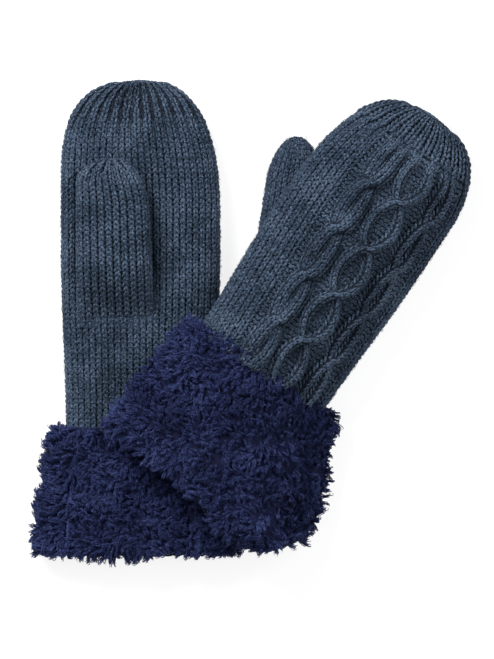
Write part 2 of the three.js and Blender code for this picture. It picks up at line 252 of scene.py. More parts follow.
# Columns of stitches are spaced evenly by length round the section, so this table gives the
# angle at which that length is reached. 0 is the middle of the panel, 1 its outer edge.
def angle_table():
    angle = np.linspace(math.pi / 2, 0, 400)
    run = length_run(*on_section((HAND_HALF_WIDTH, HAND_HALF_WIDTH, THICKNESS / 2), angle))
    return run[-1], run / run[-1], angle


HALF_ROUND, TABLE_RUN, TABLE_ANGLE = angle_table()


def across_to_angle(across):
    """Angle of a place across a panel, from -1 at the thumb side to 1 at the outer side."""
    turn = np.interp(np.abs(across), TABLE_RUN, TABLE_ANGLE)
    return np.where(across >= 0, turn, math.pi - turn)


def even_angle(section, turn, steps):
    """Spreads angles evenly by length round a flattened section."""
    angle = np.linspace(0, 2 * math.pi, steps)
    run = length_run(*on_section(section, angle))
    return np.interp((turn / (2 * math.pi)) % 1.0 * run[-1], run, angle)


# Where the cloth is drawn together: place across, place along, depth, radius, number of folds.
THUMB_DIMPLE = (-8.0, THUMB_TIP - 10.0, 5.0, 5.0, 7)
HAND_DIMPLE = (-5.5, -8.5, 4.4, 7.0, 11)
WEST_CREASE, EAST_CREASE = 4.6, 3.4  # depths of the grooves beside the left thumb


def dimple(x, y, spot):
    """Depth of the cloth round a gathered spot, with folds running out from it."""
    middle_x, middle_y, depth, radius, folds = spot
    dx, dy = x - middle_x, y - middle_y
    reach = np.hypot(dx, dy) / radius
    fold = 0.3 * np.cos(folds * np.arctan2(dy, dx)) * np.clip(reach, 0, 1)
    return depth * (np.exp(-reach**2) + fold * np.exp(-((reach / 2.2) ** 2)))


def thumb_crease(m, x, y):
    """Depth of the grooves that the thumb's two edges press into the palm."""
    root, tip = m["thumb_half_width"]
    dx, dy = turned(x - m["thumb_root"][0], y - m["thumb_root"][1], -m["thumb_turn"])
    half = lerp(root, tip, np.clip(dy / THUMB_TIP, 0, 1))
    beside = np.exp(-(((np.abs(dx) - half - 0.8) / 2.4) ** 2))
    along = smooth(dy, -16, 0) * (1 - smooth(dy, THUMB_TIP - 14, THUMB_TIP))
    return np.where(dx < 0, WEST_CREASE, EAST_CREASE) * beside * along


def hand_point(m, side, across, y, inset=0.0):
    x, f = on_section(hand_section(m, y, inset), across_to_angle(across))
    if m["palm_up"] and side > 0:
        sunk = dimple(x, y - m["length"], HAND_DIMPLE) + thumb_crease(m, x, y)
        f = f - sunk * np.clip(f / 4, 0, 1)
    return lay_down(m, x, y, side * f)


def cuff_point(m, angle, y, inset=0.0):
    x, f = on_section(cuff_section(m, y, inset), angle)
    return lay_down(m, x, y, f)


def thumb_point(m, angle, y, inset=0.0):
    """A point of the thumb, y measured from the middle of its root."""
    root, tip = m["thumb_half_width"]
    wide = lerp(root, tip, np.clip(y / THUMB_TIP, 0, 1)) - inset
    to_tip = THUMB_TIP - inset - y
    west = wide * rounding(to_tip, m["thumb_tip_outline"][0], 2)
    east = wide * rounding(to_tip, m["thumb_tip_outline"][1], 2)
    climb = np.clip((y + THUMB_HEEL - 2 * inset) / (THUMB_KNEE + THUMB_HEEL - 2 * inset), 0, 1)
    climb = (climb + smooth(climb, 0, 1)) / 2
    climb = THUMB_HEEL_SHARE + (1 - THUMB_HEEL_SHARE) * climb
    height = (THUMB_THICKNESS / 2 - inset) * rounding(to_tip, THUMB_TIP_TAPER, 2) * climb
    x, f = on_section((west, east, height), angle)
    z = inset + height + f
    if m["palm_up"]:
        z = z - (THUMB_HEEL_SINK + inset) * (1 - smooth(y, -THUMB_HEEL, -THUMB_HEEL / 3))
        z = z - dimple(x, y, THUMB_DIMPLE) * np.clip(f / 4, 0, 1)
        z = z + THICKNESS + THUMB_CLEARANCE
    else:
        z = THUMB_THICKNESS - z
    x, y = turned(x, y, m["thumb_turn"])
    x, y = x + m["thumb_root"][0], y + m["thumb_root"][1]
    wx, wy = turned(x, y, m["turn"])
    return np.stack([wx + m["wrist"][0], wy + m["wrist"][1], z], axis=-1)


def normals(point, u, y, step):
    """Points of point(u, y) and unit vectors square to the surface; step is a small step of u."""
    along_u = point(u + step, y) - point(u - step, y)
    along_y = point(u, y + ALONG_STEP) - point(u, y - ALONG_STEP)
    out = np.cross(along_u, along_y)
    return point(u, y), out / np.maximum(np.linalg.norm(out, axis=-1, keepdims=True), 1e-9)


def surface(point, depth, u, y, step):
    """Points of point(u, y, inset) and the directions out of it; depth is an inset well inside."""
    here, out = normals(point, u, y, step)
    if np.sum((here - point(u, y, depth)) * out) < 0:
        out = -out
    return here, out


def hand_surface(m, side, across, y):
    return surface(partial(hand_point, m, side), HAND_DEPTH, across, y, ACROSS_STEP)


def ways_along(out):
    """Two directions along the cloth, square to the directions out of it."""
    one_way = np.cross(out, np.array([0.0, 1.0, 0.0]))
    one_way /= np.maximum(np.linalg.norm(one_way, axis=-1, keepdims=True), 1e-6)
    return one_way, np.cross(out, one_way)


# ---------------------------------------------------------------- meshes
def make_object(name, points, faces, material):
    """A piece from points in millimetres and a list of face arrays."""
    mesh = bpy.data.meshes.new(name)
    corners = np.concatenate([f.reshape(-1) for f in faces]).astype(np.int32)
    sizes = np.concatenate([np.full(len(f), f.shape[1]) for f in faces]).astype(np.int32)
    starts = np.concatenate([[0], np.cumsum(sizes)[:-1]]).astype(np.int32)
    mesh.vertices.add(len(points))
    mesh.vertices.foreach_set("co", (np.asarray(points) * MM).astype(np.float32).reshape(-1))
    mesh.loops.add(len(corners))
    mesh.loops.foreach_set("vertex_index", corners)
    mesh.polygons.add(len(sizes))
    mesh.polygons.foreach_set("loop_start", starts)
    mesh.polygons.foreach_set("use_smooth", np.ones(len(sizes), dtype=bool))
    mesh.update(calc_edges=True)
    mesh.validate()
    mesh.materials.append(material)
    obj = bpy.data.objects.new(name, mesh)
    bpy.context.scene.collection.objects.link(obj)
    return obj


def place(piece, body, slot, node=None):
    """Fixes a piece to a body; it stands in for the node of the model, if one is named."""
    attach(piece, body)
    if node:
        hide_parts(node)


def on_table(path, least):
    """Keeps a path above the table: what the mittens' weight presses flat does not sink into it."""
    path[..., 2] = np.maximum(path[..., 2], least)
    return path


def tube_shapes(path, up, radius, sides=5, flat=0.85):
    """Closed pointed tubes. path and up are (n, k, 3), radius is (n, k); returns points, faces."""
    count, steps, _ = path.shape
    along = np.gradient(path, axis=1)
    along /= np.maximum(np.linalg.norm(along, axis=-1, keepdims=True), 1e-9)
    wide = np.cross(along, up)
    wide /= np.maximum(np.linalg.norm(wide, axis=-1, keepdims=True), 1e-9)
    high = np.cross(wide, along)
    turn = 2 * math.pi * np.arange(sides) / sides
    inner = path[:, 1:-1, None, :]
    r = radius[:, 1:-1, None, None]
    ring = inner + r * (
        np.cos(turn)[:, None] * wide[:, 1:-1, None, :]
        + flat * np.sin(turn)[:, None] * high[:, 1:-1, None, :]
    )
    rings = steps - 2
    each = rings * sides + 2
    points = np.concatenate(
        [path[:, :1, :], ring.reshape(count, rings * sides, 3), path[:, -1:, :]], axis=1
    )
    k = np.arange(sides)
    nxt = (k + 1) % sides
    start = np.stack([np.zeros_like(k), 1 + nxt, 1 + k], axis=1)
    last = 1 + (rings - 1) * sides
    end = np.stack([np.full_like(k, each - 1), last + k, last + nxt], axis=1)
    quads = [
        np.stack([1 + j * sides + k, 1 + j * sides + nxt,
                  1 + (j + 1) * sides + nxt, 1 + (j + 1) * sides + k], axis=1)
        for j in range(rings - 1)
    ]
    base = (np.arange(count) * each)[:, None, None]
    tris = (np.concatenate([start, end])[None] + base).reshape(-1, 3)
    quads = (np.concatenate(quads)[None] + base).reshape(-1, 4)
    return points.reshape(-1, 3), [tris, quads]


def joined(shapes):
    """Several (points, faces) as one."""
    points, tris, quads, base = [], [], [], 0
    for some, (some_tris, some_quads) in shapes:
        points.append(some)
        tris.append(some_tris + base)
        quads.append(some_quads + base)
        base += len(some)
    return np.concatenate(points), [np.concatenate(tris), np.concatenate(quads)]


def shell(outer, inner, closed_round):
    """A closed solid between two (rows, columns, 3) grids of the same size."""
    rows, columns, _ = outer.shape
    index = np.arange(rows * columns).reshape(rows, columns)
    under = index + rows * columns
    if closed_round:
        index = np.concatenate([index, index[:, :1]], axis=1)
        under = np.concatenate([under, under[:, :1]], axis=1)

    def strip(a, b):
        return np.stack([a[:-1], a[1:], b[1:], b[:-1]], axis=-1).reshape(-1, 4)

    def grid(g):
        return np.stack([g[:-1, :-1], g[:-1, 1:], g[1:, 1:], g[1:, :-1]], axis=-1).reshape(-1, 4)

    faces = [grid(index), grid(under)[:, ::-1]]
    faces += [strip(under[0], index[0]), strip(index[-1], under[-1])]
    if not closed_round:
        faces += [strip(index[:, 0], under[:, 0]), strip(under[:, -1], index[:, -1])]
    points = np.concatenate([outer.reshape(-1, 3), inner.reshape(-1, 3)])
    return points, [np.concatenate(faces)]


# ---------------------------------------------------------------- materials
def linear(red, green, blue):
    """A colour given as 0-255 screen values, as linear light."""
    def one(v):
        v /= 255
        return v / 12.92 if v <= 0.04045 else ((v + 0.055) / 1.055) ** 2.4
    return one(red), one(green), one(blue), 1.0


def new_material(name):
    material = bpy.data.materials.new(name)
    material.use_nodes = True
    shader = material.node_tree.nodes["Principled BSDF"]
    return material, material.node_tree, shader


def noise(tree, scale, detail, stretch=(1, 1, 1)):
    """A noise texture in the object's own coordinates; scale is per metre."""
    place = tree.nodes.new("ShaderNodeTexCoord")
    mapping = tree.nodes.new("ShaderNodeMapping")
    mapping.inputs["Scale"].default_value = stretch
    texture = tree.nodes.new("ShaderNodeTexNoise")
    texture.inputs["Scale"].default_value = scale
    texture.inputs["Detail"].default_value = detail
    tree.links.new(place.outputs["Object"], mapping.inputs["Vector"])
    tree.links.new(mapping.outputs["Vector"], texture.inputs["Vector"])
    return texture


def ramp(tree, source, *stops):
    """A colour ramp over source; each stop is (place, colour)."""
    node = tree.nodes.new("ShaderNodeValToRGB")
    elements = node.color_ramp.elements
    while len(elements) < len(stops):
        elements.new(0.5)
    for element, (place, colour) in zip(elements, stops):
        element.position = place
        element.color = colour
    tree.links.new(source, node.inputs["Fac"])
    return node


def yarn_material(name, dark, middle, light, fuzz=0.25):
    """Heathered yarn: colour drifts over the cloth and speckles along the fibres."""
    material, tree, shader = new_material(name)
    drift = noise(tree, 40, 2)
    speckle = noise(tree, 900, 4)
    both = tree.nodes.new("ShaderNodeMix")
    both.inputs["Factor"].default_value = 0.72
    tree.links.new(drift.outputs["Fac"], both.inputs["A"])
    tree.links.new(speckle.outputs["Fac"], both.inputs["B"])
    colour = ramp(tree, both.outputs["Result"], (0.38, dark), (0.5, middle), (0.64, light))
    tree.links.new(colour.outputs["Color"], shader.inputs["Base Color"])
    fibres = noise(tree, 2400, 4)
    bump = tree.nodes.new("ShaderNodeBump")
    bump.inputs["Strength"].default_value = 0.7
    bump.inputs["Distance"].default_value = 0.0005
    tree.links.new(fibres.outputs["Fac"], bump.inputs["Height"])
    tree.links.new(bump.outputs["Normal"], shader.inputs["Normal"])
    shader.inputs["Roughness"].default_value = 0.85
    shader.inputs["Specular IOR Level"].default_value = 0.2
    shader.inputs["Sheen Weight"].default_value = fuzz
    shader.inputs["Sheen Roughness"].default_value = 0.5
    shader.inputs["Sheen Tint"].default_value = light
    return material


KNIT_YARN = yarn_material(
    "knit_yarn", linear(22, 33, 47), linear(53, 68, 87), linear(94, 110, 132)
)
# Painted shade: the knit yarn's colour darkened to look like yarn in shade. It colours the cloth
# under the stitches, the cable cores and three seams.
KNIT_PAINTED_SHADE = yarn_material(
    "knit_painted_shade", linear(10, 15, 24), linear(20, 28, 40), linear(34, 43, 58), fuzz=0.0
)
PILE = yarn_material(
    "sherpa_pile", linear(14, 20, 50), linear(38, 48, 92), linear(76, 88, 140), fuzz=0.4
)
# Painted shade: the pile's colour darkened, for the cloth the pile grows from, which is seen between
# the locks.
PILE_PAINTED_SHADE = yarn_material(
    "sherpa_painted_shade", linear(11, 15, 40), linear(18, 23, 56), linear(28, 36, 78), fuzz=0.0
)
FLEECE = yarn_material(
    "fleece", linear(14, 17, 38), linear(22, 26, 54), linear(34, 38, 72), fuzz=0.3
)


# ---------------------------------------------------------------- knitting
def row_heights(m):
    """Heights of the rows of stitches, evenly spaced over the rounded tip."""
    y = np.linspace(-5.0, m["length"] - 0.4, 1200)
    _, _, height = hand_section(m, y, 0)
    run = length_run(y, height)
    count = int(run[-1] / COURSE)
    return np.interp(np.arange(count + 1) * COURSE, run, y), count


def leg_across(t):
    """How far to the side of its column's middle a leg is, in columns; t goes from 0 to 1."""
    return 0.08 + 0.34 * np.sin(t * math.pi / 2)


def leg_thickness():
    """A leg is thickest in the middle and thin at both ends."""
    return np.sin(math.pi * np.linspace(0.06, 0.94, LEG_POINTS)) ** 0.45


def legs(columns, rows, wale):
    """The slanting legs of knit stitches: place, row number and lift of each point of each leg.

    A leg starts low in the middle of its column, rises outwards over about one and a half rows,
    and tucks away.
    """
    t = np.linspace(0, 1, LEG_POINTS)
    out, up, lift = [], [], []
    for hand in (-1, 1):
        c, r = np.meshgrid(np.arange(len(columns)), np.arange(rows), indexing="ij")
        c, r = c.reshape(-1, 1), r.reshape(-1, 1)
        out.append(columns[c] + hand * wale * leg_across(t) + 0 * r)
        up.append(r + ROWS_PER_LEG * t[None, :] + 0 * c)
        lift.append(np.sin(math.pi * np.clip(t * 1.05, 0, 1))[None, :] * 0.75 + 0.0 * (r + c))
    return tuple(np.concatenate(part) for part in (out, up, lift))


def stitch_shapes(m, side, columns, wale, warp, radius, reach=(0.0, 400.0)):
    """Knit columns on one side of the hand. warp(s, tip) gives (sideways shift, lift).

    Only stitches whose distance from the tip is within reach are made.
    """
    row_y, rows = row_heights(m)
    s, r, lift = legs(columns, rows - 1, wale)
    y = np.interp(r, np.arange(len(row_y)), row_y)
    from_tip = m["length"] - y[:, 0]
    kept = (from_tip > reach[0]) & (from_tip < reach[1])
    s, lift, y = s[kept], lift[kept], y[kept]
    shift, raised = warp(s, m["length"] - y)
    across = np.clip((s + shift) / HALF_ROUND, -0.999, 0.999)
    here, out = hand_surface(m, side, across, y)
    height = lift * radius / 0.95 + raised - LEG_SINK
    path = here + out * height[..., None]
    thick = radius * leg_thickness()[None, :] * np.clip(narrowing(m, y) * 1.15, 0.3, 1)
    thick = thick * (1 + 0.08 * RANDOM.standard_normal((len(s), 1)))
    path = path + 0.12 * RANDOM.standard_normal((len(s), 1, 3))
    return tube_shapes(on_table(path, STITCH_ABOVE_TABLE), out, thick)


def purl_shapes(m, side, columns, wale, radius, warp):
    """Purl columns: interlocked arcs across the cloth, bowed up and down in turn."""
    row_y, rows = row_heights(m)
    t = np.linspace(-1, 1, 6)
    shapes = []
    for bow, start, drop in ((1, 0.0, 0.0), (-1, wale / 2, 0.5)):
        c, r = np.meshgrid(columns + start, np.arange(rows), indexing="ij")
        c, r = c.reshape(-1, 1), r.reshape(-1, 1)
        s = c + 0.5 * wale * np.sin(t * math.pi / 2) + 0 * r
        y = np.interp(r + drop + bow * 0.5 * (1 - t**2), np.arange(len(row_y)), row_y)
        kept = m["length"] - y[:, 0] > CABLE_END
        s, y = s[kept], y[kept]
        shift, raised = warp(s, m["length"] - y)
        across = np.clip((s + shift) / HALF_ROUND, -0.999, 0.999)
        here, out = hand_surface(m, side, across, y)
        height = 0.7 * (1 - t**2) - LEG_SINK + raised
        thick = radius * (1 - 0.45 * t**2) * np.clip(narrowing(m, y), 0.3, 1)
        thick = thick * (1 + 0.1 * RANDOM.standard_normal((len(s), 1)))
        path = here + out * height[..., None] + 0.1 * RANDOM.standard_normal((len(s), 1, 3))
        shapes.append(tube_shapes(path, out, thick * np.ones_like(s)))
    return joined(shapes)


# ---------------------------------------------------------------- the pattern of the cloth
# Distances across the back are measured from its middle, outer side positive, and those along
# it from the tip.
OVAL_PERIOD = 33.0
FIRST_OVAL = 40.0
CABLE_END = 24.0  # nearer the tip than this the cables have turned into ribs
CABLES = (
    # middle, swing of each strand, stitches in each strand, how suddenly the strands cross
    (-9.6, 4.4, 3, 0.5),
    (11.4, 7.4, 2, 0.7),
    (31.0, 3.4, 2, 0.5),
)
FIBRES = 6500  # loose fibres on each side of a hand; a thumb has a third of them
FIBRE_RADIUS = 0.07
CORE_HEIGHT = 2.4  # of the cloth inside a strand, roughly from its middle to its top
STRAND_LIFT = 4.4
PASS_LIFT = 1.8  # how much a strand rises over its partner
RIB_LIFT = 1.2
PURL_SINK = 0.7
PURL_FROM, PURL_TO, PURL_WALE = -21.5, 41.5, 3.5  # the purl ground, and its columns
BACK_FROM, BACK_TO = -52.5, 53.0
INNER_EDGE, OUTER_EDGE = -24.8, 45.0  # the cables lie between the plain columns
GATHER_LENGTH = 46.0


def gather_lift(s, tip, wale):
    """Where the cloth is drawn together, every second column sinks between its neighbours."""
    depth = 1 - smooth(tip, GATHER_LENGTH / 5, GATHER_LENGTH)
    return depth * np.where(np.round(s / wale) % 2 == 0, 0.8, -2.2)


def plain_warp(s, tip):
    return 0 * s, gather_lift(s, tip, WALE)


def rib_warp(s, tip):
    ending = 1 - smooth(tip, CABLE_END - 2, CABLE_END + 5)
    return 0 * s, RIB_LIFT * smooth(tip, 0, 8) * ending


def puckered_warp(s, tip):
    """The purl ground sinks between the cables."""
    return 0 * s, -PURL_SINK * smooth(tip, CABLE_END, CABLE_END + 14)


def strand_warp(middle, swing, strand, wales, ease):
    """A strand of the cable snakes across it and passes over and under its partner."""
    def warp(s, tip):
        phase = math.pi * (tip - FIRST_OVAL) / OVAL_PERIOD
        alive = smooth(tip, CABLE_END, CABLE_END + 12)
        snake = -strand * signed_power(np.cos(phase), ease) * swing
        last_phase = math.pi * (CABLE_END - FIRST_OVAL) / OVAL_PERIOD
        rest = -strand * swing * np.sign(math.cos(last_phase))
        pass_over = -strand * np.sin(phase)
        rounded = 1 - (np.clip((s - middle) / (wales * CABLE_WALE / 2), -1, 1)) ** 2
        lift = (STRAND_LIFT * (0.15 + 0.85 * rounded) + PASS_LIFT * pass_over) * alive
        return lerp(rest, snake, alive), lift + gather_lift(s, tip, WALE) * 0.6
    return warp


def spread(first, last, step):
    return np.arange(first, last + 0.01, step)


def palm_stitches(m):
    columns = spread(-13 * WALE, 13 * WALE, WALE)
    return stitch_shapes(m, 1, columns, WALE, plain_warp, LEG_RADIUS)


def ground_stitches(m):
    """The back of the hand between and beside its cables."""
    below = (CABLE_END, 400.0)
    inner = spread(BACK_FROM, INNER_EDGE, WALE)
    outer = spread(OUTER_EDGE, BACK_TO, WALE)
    ribs = spread(BACK_FROM, BACK_TO, RIB_STEP)
    purl = spread(PURL_FROM, PURL_TO, PURL_WALE)
    return joined([
        stitch_shapes(m, -1, inner, WALE, plain_warp, LEG_RADIUS, below),
        stitch_shapes(m, -1, outer, WALE, plain_warp, LEG_RADIUS, below),
        stitch_shapes(m, -1, ribs, RIB_WALE, rib_warp, RIB_RADIUS, (0, CABLE_END + 4)),
        purl_shapes(m, -1, purl, PURL_WALE, PURL_RADIUS, puckered_warp),
    ])


def cable_stitches(m):
    shapes = []
    for middle, swing, wales, ease in CABLES:
        for strand in (-1, 1):
            columns = middle + (np.arange(wales) - (wales - 1) / 2) * CABLE_WALE
            warp = strand_warp(middle, swing, strand, wales, ease)
            reach = (CABLE_END - 3, 400.0)
            shapes.append(stitch_shapes(m, -1, columns, CABLE_WALE, warp, CABLE_RADIUS, reach))
    return joined(shapes)


def fuzz(point, depth, count, first, last):
    """Loose fibres standing a little off the yarn, so the knit looks brushed.

    first and last are the lowest and highest (u, y) at which a fibre of point(u, y) starts.
    """
    across = RANDOM.uniform(first[0], last[0], (count, 1))
    y = RANDOM.uniform(first[1], last[1], (count, 1))
    here, out = surface(point, depth, across, y, ACROSS_STEP)
    t = np.linspace(0, 1, 5)[None, :]
    way = RANDOM.uniform(0, 2 * math.pi, (count, 1))
    bend = RANDOM.uniform(-1.5, 1.5, (count, 1)) * t
    length = RANDOM.uniform(2.0, 5.0, (count, 1)) * t
    rise = RANDOM.uniform(0.2, 1.5, (count, 1)) * np.sin(t * math.pi * 0.8) + 0.2
    side_way, other_way = ways_along(out)
    path = (
        here
        + (length * np.cos(way + bend))[..., None] * side_way
        + (length * np.sin(way + bend))[..., None] * other_way
        + rise[..., None] * out
    )
    up = np.repeat(out, t.shape[1], axis=1)
    thick = np.full(path.shape[:2], FIBRE_RADIUS)
    return tube_shapes(on_table(path, CLOTH_ABOVE_TABLE), up, thick, 3, 1.0)


def hand_fuzz(m, side):
    first, last = (-0.99, 2.0), (0.99, m["length"] - 3)
    return fuzz(partial(hand_point, m, side), HAND_DEPTH, FIBRES, first, last)


def thumb_fuzz(m):
    first, last = (0.0, -THUMB_HEEL + 4), (2 * math.pi, THUMB_TIP - 2)
    return fuzz(partial(thumb_point, m), THUMB_DEPTH, FIBRES // 3, first, last)


def cable_cores(m):
    """The cloth inside each strand of the cables, so that its stitches do not float."""
    tip = np.linspace(CABLE_END - 4, m["length"] + 2, 150)[None, :]
    y = m["length"] - tip
    shapes = []
    for middle, swing, wales, ease in CABLES:
        for strand in (-1, 1):
            shift, raised = strand_warp(middle, swing, strand, wales, ease)(middle + 0 * tip, tip)
            across = (middle + shift) / HALF_ROUND
            here, out = hand_surface(m, -1, across, y)
            half_width = wales * CABLE_WALE / 2
            path = on_table(here + out * (raised - CORE_HEIGHT)[..., None], CORE_HEIGHT + 1.0)
            narrow = np.clip(narrowing(m, y) * 1.15, 0.3, 1)
            thick = (half_width - 0.9) * narrow
            shapes.append(tube_shapes(path, out, thick, 10, CORE_HEIGHT / half_width))
    return joined(shapes)


def panel_backing(m, side):
    """The closed body of a knit panel under its stitches."""
    across = np.linspace(-0.995, 0.995, 60)[None, :]
    y = np.concatenate([np.linspace(-4, m["length"] - 26, 60), row_heights(m)[0][-12:]])
    y = np.unique(np.clip(y, -4, m["length"] - 0.6))[:, None]
    outer = hand_point(m, side, across, y, 0.1 + 1.5 * smooth(m["length"] - y, 8, 34))
    inner = hand_point(m, side, across, y, KNIT - 0.2)
    return shell(outer, inner, False)


def dress_hand(side_name):
    m = MITTENS[side_name]
    body = f"{side_name}_mitten"
    palm = make_object(f"{side_name}_palm_stitches", *palm_stitches(m), KNIT_YARN)
    place(palm, body, "knit", f"{side_name}_palm_panel")
    ground = make_object(f"{side_name}_back_ground", *ground_stitches(m), KNIT_YARN)
    place(ground, body, "cable_knit", f"{side_name}_back_panel")
    cables = make_object(f"{side_name}_back_cables", *cable_stitches(m), KNIT_YARN)
    place(cables, body, "cable_knit")
    # The cable cores are drawn in painted shade: the yarn colour darkened.
    cores = make_object(f"{side_name}_cable_cores", *cable_cores(m), KNIT_PAINTED_SHADE)
    place(cores, body, "cable_knit")
    for name, side in (("palm", 1), ("back", -1)):
        fibres = make_object(f"{side_name}_{name}_fuzz", *hand_fuzz(m, side), KNIT_YARN)
        place(fibres, body, "knit")
        # The backing is drawn in painted shade: the yarn colour darkened, seen between the stitches.
        backing = make_object(f"{side_name}_{name}_backing", *panel_backing(m, side), KNIT_PAINTED_SHADE)
        place(backing, body, "knit")


# ---------------------------------------------------------------- thumbs
THUMB_WALES = 24


def thumb_stitches(m):
    rows = int((THUMB_TIP + THUMB_HEEL - 2) / COURSE) + 3
    t = np.linspace(0, 1, LEG_POINTS)
    wale = 2 * math.pi / THUMB_WALES
    tip_run = np.linspace(-THUMB_HEEL - 3, THUMB_TIP - 0.3, 800)
    height = rounding(THUMB_TIP - tip_run, THUMB_TIP_TAPER, 2) * THUMB_THICKNESS / 2
    run = length_run(tip_run, height)
    section = (20.0, 20.0, THUMB_THICKNESS / 2)
    shapes = []
    for hand in (-1, 1):
        c, r = np.meshgrid(np.arange(THUMB_WALES), np.arange(rows), indexing="ij")
        c, r = c.reshape(-1, 1), r.reshape(-1, 1)
        angle = even_angle(section, (c + hand * leg_across(t)) * wale, 800)
        y = np.interp((r + ROWS_PER_LEG * t) * COURSE, run, tip_run)
        here, out = surface(partial(thumb_point, m), THUMB_DEPTH, angle, y, ANGLE_STEP)
        lift = 0.72 * np.sin(math.pi * t)[None, :] - 0.5
        drawn_in = 1 - smooth(THUMB_TIP - y, 2, 20)
        groove = drawn_in * m["thumb_pleats"] * np.where(c % 2 == 0, 0.5, -1.2)
        path = here + out * (lift + groove)[..., None]
        narrow = np.clip(rounding(THUMB_TIP - y, 24, 2) * 1.1, 0.3, 1)
        path = path + 0.1 * RANDOM.standard_normal((len(path), 1, 3))
        shapes.append(tube_shapes(path, out, LEG_RADIUS * leg_thickness()[None, :] * narrow))
    return joined(shapes)


def thumb_backing(m):
    angle = np.linspace(0, 2 * math.pi, 48, endpoint=False)[None, :]
    straight = np.linspace(-THUMB_HEEL - 2, THUMB_TIP - 16, 40)
    rounded = THUMB_TIP - 16 * np.cos(np.linspace(0.1, 1, 12) * math.pi / 2) - 0.8
    y = np.concatenate([straight, rounded])[:, None]
    return shell(thumb_point(m, angle, y, 1.0), thumb_point(m, angle, y, KNIT - 0.2), True)


def move_with_thumb(piece, side_name):
    """The left thumb is shaped to bend up from its heel, and its pieces stay where they are; the
    right one turns as a whole.
    """
    m = MITTENS[side_name]
    if m["palm_up"]:
        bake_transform(piece)
    else:
        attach(piece, f"{side_name}_thumb")


def dress_thumb(side_name):
    m = MITTENS[side_name]
    stitches = make_object(f"{side_name}_thumb_stitches", *thumb_stitches(m), KNIT_YARN)
    # The thumb's backing is drawn in painted shade: the yarn colour darkened.
    backing = make_object(f"{side_name}_thumb_backing", *thumb_backing(m), KNIT_PAINTED_SHADE)
    fibres = make_object(f"{side_name}_thumb_fuzz", *thumb_fuzz(m), KNIT_YARN)
    for piece in (stitches, backing, fibres):
        move_with_thumb(piece, side_name)
    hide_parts(f"{side_name}_thumb_tube")


# ---------------------------------------------------------------- sherpa cuffs
CUFF_TOP = -0.5  # the cuff starts here, just below the wrist
CUFF_SEAM_ANGLE = math.radians(127.5)
LUMPS = ((1.6, 34, 3), (1.3, 11, 4))  # height, size and seed of the lumps in the cloth
LOCKS = 830  # locks of pile in each part of a cuff
STRANDS = 10  # strands in each lock
LOCK_LENGTH = 7.6
LOCK_RADIUS = 1.2
STRAND_RADIUS = 0.24
LOCK_STEPS = 6


def wave(points, size, seed):
    """Smooth noise from a few random waves: points (..., 3), size in millimetres."""
    waves = np.random.default_rng(seed)
    total = 0
    for octave in (1.0, 1.7, 2.9):
        for _ in range(4):
            direction = waves.standard_normal(3)
            direction /= np.linalg.norm(direction)
            phase = waves.uniform(0, 2 * math.pi)
            total = total + np.sin(points @ direction * 2 * math.pi * octave / size + phase) / octave
    return total / 3.5


def cuff_surface(m, angle, down):
    """A point of the cuff's cloth: down is 0 at the wrist, 1 at the mouth, 1.12 inside it."""
    y = lerp(CUFF_TOP, -CUFF_LENGTH, np.clip(down, 0, 1))
    rolled = np.clip((down - 1) / 0.12, 0, 1)
    end = np.clip((down - 0.93) / 0.07, 0, 1)
    start = 1 - np.clip(down / 0.13, 0, 1)
    inset = 2.4 + 1.6 * end**2 + (SHERPA - 2.6) * rolled - 2.0 * smooth(start, 0, 1)
    y = y + 1.8 * end - 1.0 * np.sin(rolled * math.pi)
    return cuff_point(m, angle, y, inset)


def cuff_cloth(m, angle, down):
    """Points of the lumpy cloth the pile grows from, and the directions out of it."""
    here, out = normals(partial(cuff_surface, m), angle, down, ANGLE_STEP)
    middle = cuff_point(m, angle + 0 * down, lerp(0, -CUFF_LENGTH, np.clip(down, 0, 1)), HAND_DEPTH)
    out = np.where(np.sum((here - middle) * out, axis=-1, keepdims=True) < 0, -out, out)
    lumps = sum(height * wave(here, size, seed) for height, size, seed in LUMPS)
    seam = np.exp(-(((angle + 0 * down - CUFF_SEAM_ANGLE) / 0.035) ** 2))
    points = here + out * (lumps - 1.6 * seam)[..., None]
    return on_table(points, CLOTH_ABOVE_TABLE), out


def cuff_base(m):
    angle = np.linspace(0, 2 * math.pi, 150, endpoint=False)[None, :]
    down = np.concatenate([np.linspace(0, 0.93, 50), np.linspace(0.94, 1.12, 10)])[:, None]
    outer, _ = cuff_cloth(m, angle, down)
    inner_y = lerp(CUFF_TOP, -CUFF_LENGTH + 1, np.clip(down, 0, 1))
    inner = cuff_point(m, angle, inner_y, SHERPA + 0.4)
    return shell(outer, inner, True)


def each_strand(values):
    """Values of the locks, repeated for each of their strands."""
    return np.repeat(values, STRANDS, axis=0)


def strand_curves(draw):
    """How far each strand has gone forward, up and sideways at each of its points."""
    count = LOCKS * STRANDS
    t = np.linspace(0, 1, LOCK_STEPS)[None, :]
    lock_length = LOCK_LENGTH * draw.uniform(0.6, 1.2, LOCKS)
    length = (each_strand(lock_length) * draw.uniform(0.75, 1.1, count))[:, None]
    lock_stand = draw.uniform(0.3, 0.85, LOCKS)
    stand = (each_strand(lock_stand) * draw.uniform(0.85, 1.15, count))[:, None]
    curl = each_strand(draw.uniform(-0.8, 0.8, LOCKS))[:, None]
    forward = length * np.sin(t * 1.5) * 0.62
    rise = length * stand * np.sin(t * math.pi * 0.7) * 0.9 - 1.0
    crimp = 0.35 * np.sin(t * 9 + each_strand(draw.uniform(0, 6, LOCKS))[:, None])
    sideways = length * 0.32 * curl * t**2 + crimp
    around = draw.uniform(0, 2 * math.pi, count)[:, None]
    apart = LOCK_RADIUS * draw.uniform(0.35, 1.0, count)[:, None] * (1 - 0.55 * t**2)
    sideways = sideways + apart * np.cos(around)
    rise = rise + apart * np.sin(around) * 0.8
    forward = forward + draw.normal(0, 0.5, count)[:, None]
    return forward, rise, sideways


